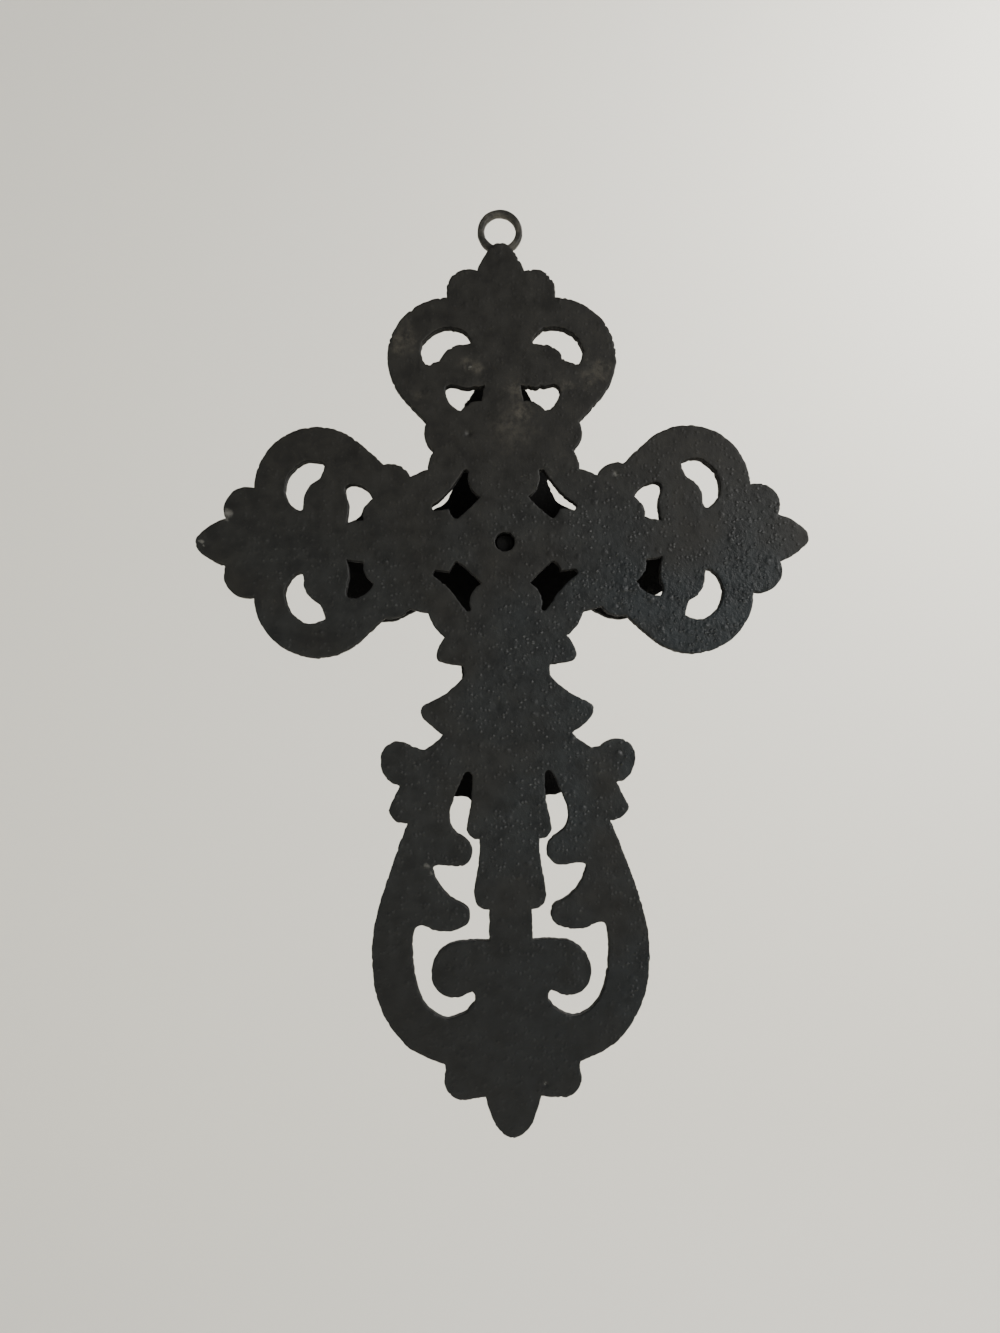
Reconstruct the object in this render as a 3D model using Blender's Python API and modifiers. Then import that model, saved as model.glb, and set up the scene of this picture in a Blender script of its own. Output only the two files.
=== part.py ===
"""Cast iron double cross for a wall: an openwork cross plate with a ring, and a smaller cross in front of it.

Metres, +Z up. The flat back of the plate lies in the plane Y = 0 and the carved faces look towards -Y. The
origin is where a nail bears: the top of the ring's hole, on the wall plane.

Both outlines were drawn with arcs, as a pattern maker sets them out. A drawing is a table of points in
millimetres, each with the bulge of the arc to the next point: the arc's height over half its chord, positive
to the left of travel. A changed size stretches the drawing.
"""

import math

import bmesh
import bpy
from mathutils import Matrix

MM = 0.001

# Back cross: reaches from the middle of the crossing to the tips, and half breadths
ARM_REACH = 80.0 * MM
ARM_SPREAD = 30.2 * MM
CROSSING_HALF = 25.0 * MM
LOWER_REACH = 151.6 * MM
LOWER_SPREAD = 35.2 * MM
PLATE_THICKNESS = 4.5 * MM
PLATE_ROUNDING = 1.5 * MM

# Hanging ring, cast on the upper tip
RING_OUTER_DIAMETER = 12.1 * MM
RING_HOLE_DIAMETER = 8.3 * MM
RING_THICKNESS = 2.4 * MM
RING_BEVEL = 0.6 * MM
RING_DEPTH = 0.8 * MM
RING_LAP = 2.4 * MM

# Hole in the plate and the peg that goes through it
PEG_HOLE_DIAMETER = 5.1 * MM
PEG_HOLE_DROP = 0.5 * MM
PEG_CLEARANCE = 0.3 * MM
PEG_RECESS = 2.4 * MM

# Front cross
STANDOFF = 15.5 * MM
FRONT_DROP = 1.4 * MM
FRONT_REACH = 53.5 * MM
FRONT_SPREAD = 17.3 * MM
FRONT_CROSSING_HALF = 15.7 * MM
FRONT_LOWER_REACH = 78.0 * MM
FRONT_LOWER_SPREAD = 19.2 * MM
FRONT_THICKNESS = 4.2 * MM
FRONT_ROUNDING = 1.3 * MM
BOSS_DIAMETER = 13.0 * MM
BOSS_FLARE = 2.6 * MM
SEAT_GAP = 0.3 * MM

# Relief of both faces
RIB_RADIUS = 1.5 * MM
RIB_SINK = 0.4 * MM
DOME_SINK = 0.5 * MM
ROSETTE_DIAMETER = 19.0 * MM
ROSETTE_RISE = 2.0 * MM

# Fineness of arcs and turned shapes, and margins of cuts and welds
ARC_TOLERANCE = 0.2 * MM
WIDEST_STEP = math.radians(42)
WELD_DISTANCE = 0.004 * MM
FLAT_ANGLE = math.radians(0.3)
TURN_MERGE = 0.01 * MM
CUT_MARGIN = 1.0 * MM
RING_SEGMENTS = 28
TURNED_SEGMENTS = 24
DOME_SEGMENTS = 12
SHARP_ANGLE = math.radians(35)

# End of an arm, as distance along the arm, half breadth and bulge, from the crossing out to the tip
ARM_END = (
    (31.4, 20.2, 0.04),   # notch where the scroll springs
    (40.4, 28.1, 0.58),   # back of the scroll
    (65.0, 14.3, 0.64),   # notch before the side bud
    (72.3, 6.3, 0.10),    # notch before the middle bud
    (78.8, 2.5, 0.25),    # shoulder of the middle bud
    (80.0, 0.0, 0.0),     # tip
)

# Corner between the top arm and a side arm, as x, z and bulge, between the notches of the two scrolls
UPPER_CORNER = (
    (18.3, 23.7, 0.15),   # notch under the small lobe of the top arm
    (20.0, 18.8, 0.0),
    (24.5, 17.0, 0.37),   # inner corner, then the knob of the side arm
)
UPPER_LOBE_BULGE = 0.38

# Corner between a side arm and the lower limb, as x, z and bulge
LOWER_KNOB_BULGE = 0.30
LOWER_CORNER = (
    (25.0, -17.8, 0.05),
    (20.3, -18.9, 0.15),
)

# Right edge of the lower limb, as distance below the crossing's middle, half breadth and bulge
LIMB_EDGE = (
    (25.3, 15.9, 0.08),   # first notch
    (29.3, 18.0, 0.55),   # tip of the first leaf
    (31.8, 16.6, 0.05),
    (32.6, 11.4, -0.15),  # neck
    (35.4, 11.1, -0.13),
    (42.6, 21.0, 0.50),   # tip of the second leaf
    (45.8, 21.9, 0.10),
    (50.5, 16.7, -0.10),  # notch
    (54.3, 21.6, -0.10),
    (52.6, 26.0, 0.62),   # round lobe
    (57.3, 32.7, 0.36),
    (63.4, 27.9, 0.04),   # notch
    (69.6, 30.8, 0.38),   # small lobe
    (73.0, 26.0, 0.03),   # notch, then the long side of the body
    (97.4, 34.3, 0.11),
    (116.5, 34.0, 0.14),
    (129.4, 25.5, 0.02),
    (133.2, 17.1, 0.0),   # notch
    (134.8, 16.9, 0.48),  # side bud
    (142.0, 13.2, 0.0),
    (141.4, 7.0, 0.08),   # notch
    (148.6, 4.3, 0.22),   # middle bud
    (151.6, 0.0, 0.0),    # lowest tip
)

# Piercings of an arm, as distance along the arm, distance from its middle line and bulge
CRESCENT_HOLE = (
    (46.8, 20.4, 0.15),
    (51.0, 21.5, 0.36),
    (57.0, 13.5, 0.28),
    (53.6, 8.3, 0.60),
    (52.4, 8.9, -0.32),
    (47.9, 16.8, 0.05),
)
TEARDROP_HOLE = (
    (39.6, 15.1, 0.45),
    (41.4, 13.9, -0.15),
    (41.2, 4.8, 0.0),
    (36.9, 5.6, 0.0),
    (36.5, 8.6, 0.0),
    (34.3, 11.2, 0.30),
)

# Piercing of the crossing, upper right, as x, z and bulge
STAR_HOLE = (
    (10.8, 18.0, -0.12),
    (18.9, 9.2, 0.30),
    (18.3, 7.7, -0.10),
    (14.5, 8.3, 0.0),
    (13.3, 6.0, 0.50),
    (12.2, 5.8, 0.0),
    (6.3, 11.4, -0.35),
    (9.2, 18.3, 0.60),
)

# Long piercing of the lower limb, right side, as distance below the crossing's middle, x and bulge
LIMB_HOLE = (
    (61.1, 9.3, 0.85),      # round head of the slot
    (60.9, 11.4, 0.05),
    (70.6, 15.2, 0.32),
    (76.2, 12.3, 0.0),
    (76.8, 11.4, -0.63),    # upper leaf
    (84.1, 12.2, 0.0),
    (83.7, 18.6, 0.60),
    (85.2, 19.4, 0.22),
    (93.1, 13.0, -0.77),    # lower leaf
    (99.4, 12.3, -0.25),
    (98.7, 22.4, 0.45),
    (100.3, 24.5, 0.12),    # inside of the body
    (115.7, 23.2, 0.26),
    (122.0, 16.5, 0.25),
    (118.7, 10.0, 0.50),
    (115.4, 10.0, 0.0),
    (116.0, 11.3, -0.62),   # scroll
    (110.5, 20.2, -0.41),
    (102.9, 12.3, 0.0),
    (102.9, 5.6, 0.0),      # middle bar
    (95.2, 5.4, -0.43),
    (91.5, 9.2, -0.03),
    (79.5, 7.6, 0.0),
    (77.4, 7.7, -0.35),
    (74.8, 10.9, 0.06),
)

# Arm of the front cross, from the inner corner of its crossing out to the tip
FRONT_ARM = (
    (15.7, 15.7, -0.06),  # inner corner
    (22.0, 12.7, 0.05),   # notch where the scroll springs
    (27.2, 15.7, 0.22),   # back of the scroll
    (35.6, 16.7, 0.32),
    (39.2, 12.4, -0.10),
    (43.2, 10.3, 0.15),   # notch before the side bud
    (45.9, 8.4, 0.0),
    (48.4, 6.8, 0.40),
    (49.0, 3.6, 0.06),    # notch before the middle bud
    (52.6, 1.6, 0.25),
    (53.5, 0.0, 0.0),     # tip
)

# Lower limb of the front cross, from the inner corner down to the foot's tip
FRONT_LIMB = (
    (15.7, 15.7, -0.06),  # inner corner
    (22.0, 12.7, -0.05),
    (31.0, 11.9, -0.02),  # shaft
    (45.5, 11.3, 0.05),   # notch where the foot's scroll springs
    (49.5, 16.0, 0.20),   # back of the scroll
    (57.5, 19.2, 0.30),
    (64.4, 16.4, 0.20),
    (65.9, 11.5, -0.15),  # notch before the side bud
    (67.4, 9.2, 0.10),
    (72.0, 7.6, 0.45),
    (73.3, 3.6, 0.06),    # notch before the middle bud
    (77.0, 1.6, 0.25),
    (78.0, 0.0, 0.0),     # tip
)

# Raised ribs on the plate, along its arms and its lower limb, drawn like the outlines
ARM_SCROLL_RIB = (
    (36.0, 16.4, 0.60),
    (51.4, 26.2, 0.45),
    (60.4, 10.8, 0.25),
    (57.2, 7.4, 0.0),
)
ARM_MIDRIB = ((14.0, 0.0, 0.0), (76.0, 0.0, 0.0))
LIMB_MIDRIB = ((14.0, 0.0, 0.0), (146.0, 0.0, 0.0))
LIMB_BAND_RIB = (
    (70.0, 22.5, 0.05),
    (97.0, 28.8, 0.12),
    (115.5, 28.4, 0.20),
    (129.5, 15.5, 0.0),
)

# Domes on the plate's lobes, as distance below the crossing's middle, x and radius
LIMB_DOMES = ((56.6, 27.3, 4.2), (137.8, 11.2, 3.0))

# Raised ribs on the front cross
FRONT_SCROLL_RIB = (
    (23.5, 7.4, 0.30),
    (33.4, 12.2, 0.80),
    (33.0, 6.4, 0.0),
)
FRONT_MIDRIB = ((10.0, 0.0, 0.0), (50.5, 0.0, 0.0))
FRONT_FOOT_RIB = (
    (47.5, 7.4, 0.25),
    (59.8, 13.8, 0.85),
    (58.6, 7.0, 0.0),
)
FRONT_LIMB_MIDRIB = ((10.0, 0.0, 0.0), (75.0, 0.0, 0.0))

# Rosette on the front cross, as parts of its radius and of its rise
ROSETTE_PROFILE = ((1.0, 0.30), (0.90, 0.62), (0.74, 0.62), (0.64, 0.34), (0.44, 0.34), (0.36, 0.80),
                   (0.18, 1.0), (0.0, 1.0))

# Dome, from its rim to its top, as parts of its radius
DOME_SHAPE = ((1.0, 0.0), (0.80, 0.42), (0.30, 0.68), (0.0, 0.72))


def arc_points(start, end, bulge):
    """Points after start, up to and with end, of the arc whose height over half its chord is bulge."""
    if bulge == 0.0:
        return [end]
    first, last = complex(*start), complex(*end)
    sweep = 4 * math.atan(bulge)
    radius = abs(last - first) * (1 + bulge ** 2) / (4 * abs(bulge))
    widest = 2 * math.acos(max(0.0, 1 - ARC_TOLERANCE / radius))
    steps = max(1, math.ceil(abs(sweep) / min(WIDEST_STEP, widest)))
    centre = (first + last) / 2 - 1j * (last - first) / 2 * (1 - bulge ** 2) / (2 * bulge)
    angles = (-sweep * k / steps for k in range(1, steps + 1))
    points = [centre + (first - centre) * complex(math.cos(a), math.sin(a)) for a in angles]
    return [(point.real, point.imag) for point in points]


def trace(table, closed=False):
    """Polyline through a drawing's arcs."""
    ends = list(table[1:]) + ([table[0]] if closed else [])
    points = [] if closed else [tuple(table[0][:2])]
    for (u, v, bulge), following in zip(table, ends):
        points += arc_points((u, v), following[:2], bulge)
    return points


def in_metres(table):
    return [(u * MM, v * MM, bulge) for u, v, bulge in table]


def stretcher(table, drawn_crossing, crossing, reach, spread):
    """Function that moves a drawn point of a limb to where it lies at the wanted sizes.

    The drawing's own reach and spread are read from its outline. Along the limb, the part inside the crossing
    and the part beyond it each have their own scale.
    """
    outline = trace(in_metres(table))
    drawn_reach = max(u for u, v in outline)
    drawn_spread = max(v for u, v in outline)
    inner = drawn_crossing * MM

    def moved(u, v):
        if u <= inner:
            along = u * crossing / inner
        else:
            along = crossing + (u - inner) * (reach - crossing) / (drawn_reach - inner)
        return along, v * spread / drawn_spread
    return moved


def sized(table, move):
    """The drawing at its wanted size: its points moved, its bulges kept."""
    return [(*move(u, v), bulge) for u, v, bulge in in_metres(table)]


def crossing_point(x, z):
    scale = CROSSING_HALF / (DRAWN_CORNER * MM)
    return x * scale, z * scale


DRAWN_CORNER = LOWER_CORNER[0][0]
FRONT_DRAWN_CORNER = FRONT_ARM[0][0]
arm_point = stretcher(ARM_END, DRAWN_CORNER, CROSSING_HALF, ARM_REACH, ARM_SPREAD)
limb_point = stretcher(LIMB_EDGE, DRAWN_CORNER, CROSSING_HALF, LOWER_REACH, LOWER_SPREAD)
front_arm_point = stretcher(FRONT_ARM, FRONT_DRAWN_CORNER, FRONT_CROSSING_HALF, FRONT_REACH, FRONT_SPREAD)
front_limb_point = stretcher(FRONT_LIMB, FRONT_DRAWN_CORNER, FRONT_CROSSING_HALF,
                             FRONT_LOWER_REACH, FRONT_LOWER_SPREAD)


def upward(points):
    return [(v, u) for u, v in points]


def sideways(points):
    return [(u, v) for u, v in points]


def downward(points):
    return [(v, -u) for u, v in points]


def across(points):
    """Mirror image over the upright middle line, in the order that keeps the direction of travel."""
    return [(-x, z) for x, z in reversed(points)]


def below(points):
    """Mirror image over the level middle line, in the order that keeps the direction of travel."""
    return [(x, -z) for x, z in reversed(points)]


def whole(right_half):
    """Closed outline from its right half, which runs from the top of the middle line to its foot."""
    return right_half + across(right_half)[1:-1]


def back_outline():
    """Outer outline of the plate, clockwise as seen from the front."""
    arm = trace(sized(ARM_END, arm_point))
    top = list(reversed(upward(arm)))
    side_upper = sideways(arm)
    side_lower = below(side_upper)
    corner = sized(UPPER_CORNER, crossing_point)
    upper_corner = trace([(*top[-1], UPPER_LOBE_BULGE), *corner, (*side_upper[0], 0.0)])[1:-1]
    knob = [(*side_lower[-1], LOWER_KNOB_BULGE), *sized(LOWER_CORNER, crossing_point)]
    limb = downward(trace(sized(LIMB_EDGE, limb_point)))
    lower_corner = trace([*knob, (*limb[0], 0.0)])[1:-1]
    return whole(top + upper_corner + side_upper + side_lower[1:] + lower_corner + limb)


def back_holes():
    """Piercings of the plate, right and left."""
    arm_holes = [trace(sized(table, arm_point), closed=True) for table in (CRESCENT_HOLE, TEARDROP_HOLE)]
    star = trace(sized(STAR_HOLE, crossing_point), closed=True)
    right = [downward(trace(sized(LIMB_HOLE, limb_point), closed=True)), star, below(star)]
    for hole in arm_holes:
        right += [upward(hole), sideways(hole), below(sideways(hole))]
    return right + [across(hole) for hole in right]


def front_outline():
    """Outer outline of the front cross, clockwise as seen from the front."""
    arm = trace(sized(FRONT_ARM, front_arm_point))
    limb = trace(sized(FRONT_LIMB, front_limb_point))
    side = sideways(arm)
    return whole(list(reversed(upward(arm))) + side[1:] + below(side)[1:] + downward(limb)[1:])


def new_collection(name):
    collection = bpy.data.collections.new(name)
    bpy.context.scene.collection.children.link(collection)
    return collection


def paint(name, colour, roughness, metallic):
    material = bpy.data.materials.new(name)
    material.use_nodes = True
    shader = material.node_tree.nodes["Principled BSDF"]
    shader.inputs["Base Color"].default_value = (*colour, 1.0)
    shader.inputs["Roughness"].default_value = roughness
    shader.inputs["Metallic"].default_value = metallic
    return material


def as_mesh(source, collection):
    """Replace a curve, or an object with modifiers, by its evaluated mesh, tidied, its place applied."""
    bpy.context.view_layer.update()
    evaluated = source.evaluated_get(bpy.context.evaluated_depsgraph_get())
    mesh = bpy.data.meshes.new_from_object(evaluated)
    mesh.transform(source.matrix_world)
    name = source.name
    bpy.data.objects.remove(source)
    tidy(mesh)
    solid = bpy.data.objects.new(name, mesh)
    collection.objects.link(solid)
    return solid


def tidy(mesh):
    """Weld a mesh, join its faces that lie in one plane, and point its faces outward."""
    surface = bmesh.new()
    surface.from_mesh(mesh)
    bmesh.ops.remove_doubles(surface, verts=surface.verts, dist=WELD_DISTANCE)
    bmesh.ops.dissolve_limit(surface, angle_limit=FLAT_ANGLE, verts=surface.verts, edges=surface.edges)
    bmesh.ops.recalc_face_normals(surface, faces=surface.faces)
    surface.to_mesh(mesh)
    surface.free()


def from_bmesh(name, surface, collection):
    mesh = bpy.data.meshes.new(name)
    surface.to_mesh(mesh)
    surface.free()
    solid = bpy.data.objects.new(name, mesh)
    collection.objects.link(solid)
    return solid


def flat_casting(name, loops, thickness, rounding, back_y, centre_z, collection):
    """Casting with a flat, sharp-edged back and every front rim rounded.

    A filled 2D curve gives a solid of twice the thickness with both rims rounded; its back half is cut off.
    """
    curve = bpy.data.curves.new(name, "CURVE")
    curve.dimensions = "2D"
    curve.fill_mode = "BOTH"
    curve.extrude = thickness - rounding
    curve.bevel_depth = rounding
    curve.bevel_resolution = 1
    curve.offset = -rounding
    for loop in loops:
        spline = curve.splines.new("POLY")
        spline.points.add(len(loop) - 1)
        for point, (x, z) in zip(spline.points, loop):
            point.co = (x, z, 0.0, 1.0)
        spline.use_cyclic_u = True
    solid = bpy.data.objects.new(name, curve)
    collection.objects.link(solid)
    solid.matrix_world = upright(0.0, back_y, centre_z)
    casting = as_mesh(solid, collection)
    combine(casting, block_behind(casting, back_y, collection), "DIFFERENCE")
    return casting


def upright(x, y, z):
    """Place of a shape drawn lying down: its own Z axis comes to point along -Y, out of the wall."""
    return Matrix.Translation((x, y, z)) @ Matrix.Rotation(math.pi / 2, 4, "X")


def block_behind(solid, back_y, collection):
    """Cutter that holds everything of a solid that lies behind the plane y = back_y."""
    corners = [solid.matrix_world @ vertex.co for vertex in solid.data.vertices]
    low = [min(c[axis] for c in corners) - CUT_MARGIN for axis in range(3)]
    high = [max(c[axis] for c in corners) + CUT_MARGIN for axis in range(3)]
    low[1] = back_y
    surface = bmesh.new()
    bmesh.ops.create_cube(surface, size=1.0)
    bmesh.ops.scale(surface, vec=[h - l for l, h in zip(low, high)], verts=surface.verts)
    bmesh.ops.translate(surface, vec=[(l + h) / 2 for l, h in zip(low, high)], verts=surface.verts)
    return from_bmesh("behind", surface, collection)


def turned(name, profile, x, z, segments, collection, closed=False):
    """Turned solid about the line along Y through x and z; the profile gives radius and y."""
    surface = bmesh.new()
    points = [surface.verts.new((radius, 0.0, -y)) for radius, y in profile]
    pairs = list(zip(points, points[1:])) + ([(points[-1], points[0])] if closed else [])
    for pair in pairs:
        surface.edges.new(pair)
    solid = from_bmesh(name, surface, collection)
    screw = solid.modifiers.new("turn", "SCREW")
    screw.steps = screw.render_steps = segments
    screw.use_merge_vertices = True
    screw.merge_threshold = TURN_MERGE
    solid.matrix_world = upright(x, 0.0, z)
    return as_mesh(solid, collection)


def bar_along_y(name, radius, back_y, front_y, x, z, collection):
    surface = bmesh.new()
    bmesh.ops.create_cone(surface, cap_ends=True, segments=TURNED_SEGMENTS, radius1=radius, radius2=radius,
                          depth=back_y - front_y)
    bmesh.ops.transform(surface, matrix=upright(x, (back_y + front_y) / 2, z), verts=surface.verts)
    return from_bmesh(name, surface, collection)


def rib(name, path, radius, y, centre_z, collection):
    """Round rib that follows a path of x, z points, its middle line at depth y."""
    curve = bpy.data.curves.new(name, "CURVE")
    curve.dimensions = "3D"
    curve.bevel_depth = radius
    curve.bevel_resolution = 1
    curve.use_fill_caps = True
    spline = curve.splines.new("POLY")
    spline.points.add(len(path) - 1)
    for point, (x, z) in zip(spline.points, path):
        point.co = (x, y, z + centre_z, 1.0)
    solid = bpy.data.objects.new(name, curve)
    collection.objects.link(solid)
    return as_mesh(solid, collection)


def combine(target, tool, operation):
    """Apply an exact Boolean to the target and remove the tool."""
    modifier = target.modifiers.new("combine", "BOOLEAN")
    modifier.operation = operation
    modifier.solver = "EXACT"
    modifier.object = tool
    bpy.context.view_layer.update()
    evaluated = target.evaluated_get(bpy.context.evaluated_depsgraph_get())
    mesh = bpy.data.meshes.new_from_object(evaluated)
    target.modifiers.clear()
    target.data = mesh
    bpy.data.objects.remove(tool)
    tidy(mesh)


def with_mirror(points):
    return [points, across(points)]


def add_ribs(target, paths, face_y, centre_z, collection):
    for path in paths:
        tool = rib("rib", path, RIB_RADIUS, face_y + RIB_SINK, centre_z, collection)
        combine(target, tool, "UNION")


def dome_profile(radius, face_y):
    """Low dome of a radius on the face at face_y, with a foot that reaches down into the plate."""
    buried = face_y + PLATE_THICKNESS / 2
    dome = [(radius * r, face_y + DOME_SINK - radius * rise) for r, rise in DOME_SHAPE]
    return [(0.0, buried), (radius, buried), *dome]


def back_ribs():
    scroll = trace(sized(ARM_SCROLL_RIB, arm_point))
    midrib = trace(sized(ARM_MIDRIB, arm_point))
    band = downward(trace(sized(LIMB_BAND_RIB, limb_point)))
    paths = [upward(midrib), downward(trace(sized(LIMB_MIDRIB, limb_point))), *with_mirror(sideways(midrib))]
    for path in (upward(scroll), sideways(scroll), below(sideways(scroll)), band):
        paths += with_mirror(path)
    return paths


def front_ribs():
    scroll = trace(sized(FRONT_SCROLL_RIB, front_arm_point))
    midrib = trace(sized(FRONT_MIDRIB, front_arm_point))
    foot = downward(trace(sized(FRONT_FOOT_RIB, front_limb_point)))
    middle = upward(midrib)[::-1] + downward(trace(sized(FRONT_LIMB_MIDRIB, front_limb_point)))
    level = sideways(midrib)[::-1] + [(-x, z) for x, z in sideways(midrib)]
    paths = [middle, level]
    for path in (upward(scroll), sideways(scroll), below(sideways(scroll)), foot):
        paths += with_mirror(path)
    return paths


def make_back_cross(crossing_z, collection):
    plate = flat_casting("back_cross", [back_outline(), *back_holes()],
                         PLATE_THICKNESS, PLATE_ROUNDING, 0.0, crossing_z, collection)
    front_y = -PLATE_THICKNESS
    add_ribs(plate, back_ribs(), front_y, crossing_z, collection)
    for drawn_depth, drawn_x, drawn_radius in LIMB_DOMES:
        depth, x = limb_point(drawn_depth * MM, drawn_x * MM)
        radius = limb_point(drawn_depth * MM, drawn_radius * MM)[1]
        for side in (x, -x):
            dome = turned("dome", dome_profile(radius, front_y), side, crossing_z - depth,
                          DOME_SEGMENTS, collection)
            combine(plate, dome, "UNION")
    hole_z = crossing_z - PEG_HOLE_DROP
    drill = bar_along_y("drill", PEG_HOLE_DIAMETER / 2, CUT_MARGIN, -PLATE_THICKNESS - CUT_MARGIN,
                        0.0, hole_z, collection)
    combine(plate, drill, "DIFFERENCE")
    combine(plate, hanging_ring(collection), "UNION")
    return plate


def hanging_ring(collection):
    """Ring with bevelled rims, the top of its hole at the origin's height."""
    outer, inner = RING_OUTER_DIAMETER / 2, RING_HOLE_DIAMETER / 2
    back, front = -RING_DEPTH, -RING_DEPTH - RING_THICKNESS
    edge = RING_BEVEL
    section = ((outer, back - edge), (outer - edge, back), (inner + edge, back), (inner, back - edge),
               (inner, front + edge), (inner + edge, front), (outer - edge, front), (outer, front + edge))
    return turned("ring", section, 0.0, -inner, RING_SEGMENTS, collection, closed=True)


def make_front_cross(crossing_z, collection):
    """The smaller cross with its boss, its peg and the rosette on its face."""
    back_y = -(PLATE_THICKNESS + STANDOFF)
    face_y = back_y - FRONT_THICKNESS
    centre_z = crossing_z - FRONT_DROP
    front = flat_casting("front_cross", [front_outline()],
                         FRONT_THICKNESS, FRONT_ROUNDING, back_y, centre_z, collection)
    add_ribs(front, front_ribs(), face_y, centre_z, collection)
    radius = ROSETTE_DIAMETER / 2
    sunk = face_y + FRONT_THICKNESS / 2
    carved = [(radius * r, face_y - ROSETTE_RISE * rise) for r, rise in ROSETTE_PROFILE]
    rosette = [(0.0, sunk), (radius, sunk), *carved]
    combine(front, turned("rosette", rosette, 0.0, centre_z, TURNED_SEGMENTS, collection), "UNION")
    boss = BOSS_DIAMETER / 2
    seat_y = -(PLATE_THICKNESS + SEAT_GAP)
    peg = PEG_HOLE_DIAMETER / 2 - PEG_CLEARANCE
    sunk_y = back_y - FRONT_THICKNESS / 2
    root = boss + BOSS_FLARE + FRONT_THICKNESS / 2
    profile = ((0.0, sunk_y), (root, sunk_y), (boss, back_y + BOSS_FLARE),
               (boss, seat_y), (peg, seat_y), (peg, -PEG_RECESS), (0.0, -PEG_RECESS))
    hole_z = crossing_z - PEG_HOLE_DROP
    combine(front, turned("boss", profile, 0.0, hole_z, TURNED_SEGMENTS, collection), "UNION")
    return front


def finish(piece, material):
    """Give a piece its material, smooth over the rounding and sharp at its edges."""
    piece.data.materials.clear()
    piece.data.materials.append(material)
    piece.data.shade_smooth()
    piece.data.set_sharp_from_angle(angle=SHARP_ANGLE)


def main():
    for leftover in list(bpy.data.objects):
        bpy.data.objects.remove(leftover)
    parts = new_collection("cast_iron_double_cross")
    ring_centre = ARM_REACH + RING_OUTER_DIAMETER / 2 - RING_LAP
    crossing_z = -(ring_centre + RING_HOLE_DIAMETER / 2)
    plate = make_back_cross(crossing_z, parts)
    front = make_front_cross(crossing_z, parts)
    finish(plate, paint("plate_iron", (0.025, 0.025, 0.024), 0.6, 0.5))
    finish(front, paint("front_iron", (0.022, 0.022, 0.022), 0.6, 0.5))


main()
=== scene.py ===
"""Looks of a cast iron double cross: an openwork plate with a ring, and a smaller cross in front of it.

Metres, +Z up. The plate's flat back faces +Y and the carved faces look towards -Y. Every outline is read from
the frame's own pieces and smoothed. The faces are heights over x and z, worked out with numpy.
"""
import math

import bmesh
import bpy
import numpy as np
from mathutils import Matrix, Vector
from mathutils.geometry import delaunay_2d_cdt


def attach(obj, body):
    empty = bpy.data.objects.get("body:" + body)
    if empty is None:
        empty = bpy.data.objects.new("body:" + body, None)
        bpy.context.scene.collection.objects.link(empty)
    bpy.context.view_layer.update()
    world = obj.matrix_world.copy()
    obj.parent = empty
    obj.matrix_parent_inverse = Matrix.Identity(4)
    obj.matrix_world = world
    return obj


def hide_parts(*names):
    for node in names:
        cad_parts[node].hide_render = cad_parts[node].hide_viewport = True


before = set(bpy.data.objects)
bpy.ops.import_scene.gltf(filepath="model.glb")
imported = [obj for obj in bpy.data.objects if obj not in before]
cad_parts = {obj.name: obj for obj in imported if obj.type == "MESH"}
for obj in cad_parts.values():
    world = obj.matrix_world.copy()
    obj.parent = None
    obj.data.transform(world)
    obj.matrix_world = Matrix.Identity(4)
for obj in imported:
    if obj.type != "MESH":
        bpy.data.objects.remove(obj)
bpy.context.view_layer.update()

MM = 0.001

# Camera of the photograph, from fitting its outlines: place, turns and half of the upright view
CAMERA_PLACE = (11.0 * MM, 277.83 * MM, -141.36 * MM)
CAMERA_PITCH = math.radians(4.2)
CAMERA_YAW = math.radians(1.9)
CAMERA_ROLL = math.radians(-0.85)
HALF_VIEW = math.radians(31.7)
SENSOR = 36.0

# Reading and smoothing outlines
WELD = 0.01 * MM
IN_PLANE = 0.02 * MM
RIM_STEP = 0.43 * MM
SHARP_TURN = math.radians(44)
ARC_HEIGHT = 0.2 * MM
STEEPEST = math.radians(24)

# Distance field
REACH = 6.0 * MM
CELL = 6.0 * MM

# Depths of the casting's faces, in the frame's Y
PLATE_BACK = 0.0
PLATE_FACE = -4.5 * MM
PLATE_ROUNDING = 1.5 * MM
FRONT_BACK = -20.0 * MM
FRONT_FACE = -24.2 * MM
FRONT_ROUNDING = 1.3 * MM

# Middles of both crosses and of the peg's hole
CROSSING_Z = -87.8 * MM
FRONT_CENTRE_Z = -89.2 * MM
PEG_Z = -88.3 * MM

# Waves of the cast surface and its rims: how many of each length, and by how much their lengths vary
WAVES = 14
WAVE_SPREAD = (0.75, 1.35)
RIM_WANDER = 0.10 * MM
WALL_WANDER = 0.06 * MM
RIM_LENGTHS = (1.9 * MM, 4.6 * MM)
NICK_DEPTH = 0.50 * MM
NICK_LENGTHS = (1.2 * MM, 2.4 * MM)
NICK_START = 0.32
NICKED_ABOVE = (-62.0 * MM, -48.0 * MM)
NICKS_ELSEWHERE = 0.4
BACK_WAVE = 0.05 * MM
BACK_LENGTHS = (9 * MM, 26 * MM)
BACK_GRAIN = 0.022 * MM
BACK_GRAIN_LENGTHS = (2.4 * MM, 3.6 * MM)
FACE_GRAIN = 0.035 * MM
FACE_GRAIN_LENGTHS = (1.8 * MM, 4.5 * MM)
ARRIS = 0.16 * MM
ARRIS_DROP = 0.11 * MM

# Seeds of the random fields: rims, back, carved face and walls of each cross, then the ring and the boss
PLATE_SEEDS = {"rims": 11, "back": 21, "face": 31, "walls": 51}
FRONT_SEEDS = {"rims": 12, "back": 22, "face": 32, "walls": 52}
RING_SEED = 41
BOSS_SEED = 61

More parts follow.
